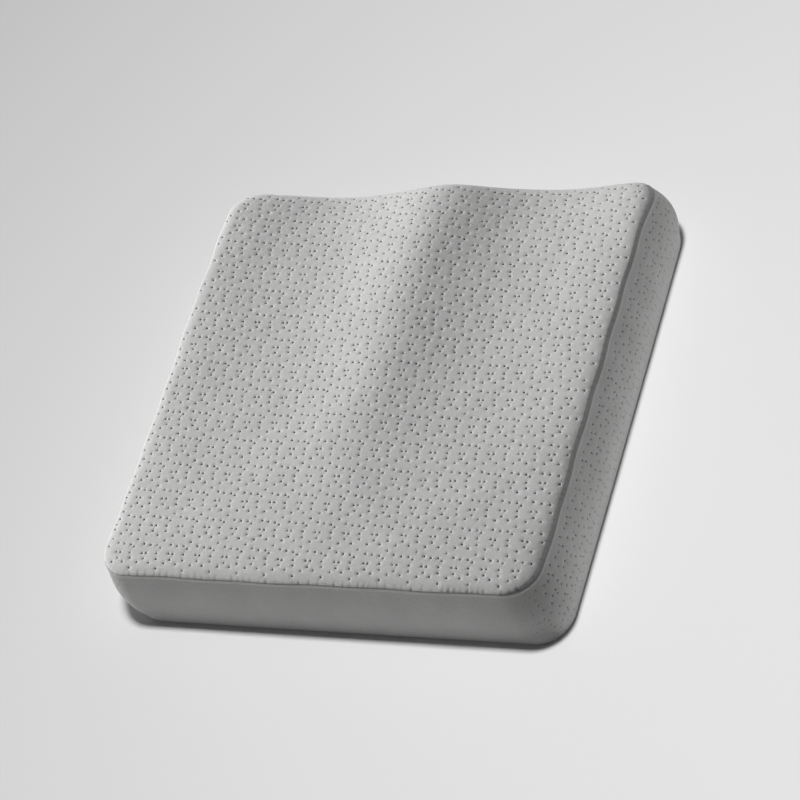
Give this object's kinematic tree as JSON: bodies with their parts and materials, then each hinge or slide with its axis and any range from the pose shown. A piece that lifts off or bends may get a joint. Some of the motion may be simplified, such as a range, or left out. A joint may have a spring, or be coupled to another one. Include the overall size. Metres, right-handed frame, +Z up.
{
  "type": "memory foam seat cushion",
  "caption": "Contoured foam seat cushion with a centre ridge, leg troughs, rounded corners and a dotted knit cover over a sewn side band.",
  "frame": {"origin": "centre of the underside, on the surface the cushion rests on", "axes": "+X across the seat, +Y toward the contoured front edge, +Z up out of the sitting face"},
  "size_m": [0.4482, 0.4472, 0.0859],
  "materials": {
    "dotted_knit": "matte knit with pinhole dots",
    "band_knit": "matte knit",
    "base_fabric": "matte woven"
  },
  "bodies": {
    "root": {"top_panel": "dotted_knit", "foam_body": "band_knit", "base_panel": "base_fabric"}
  },
  "joints": []
}
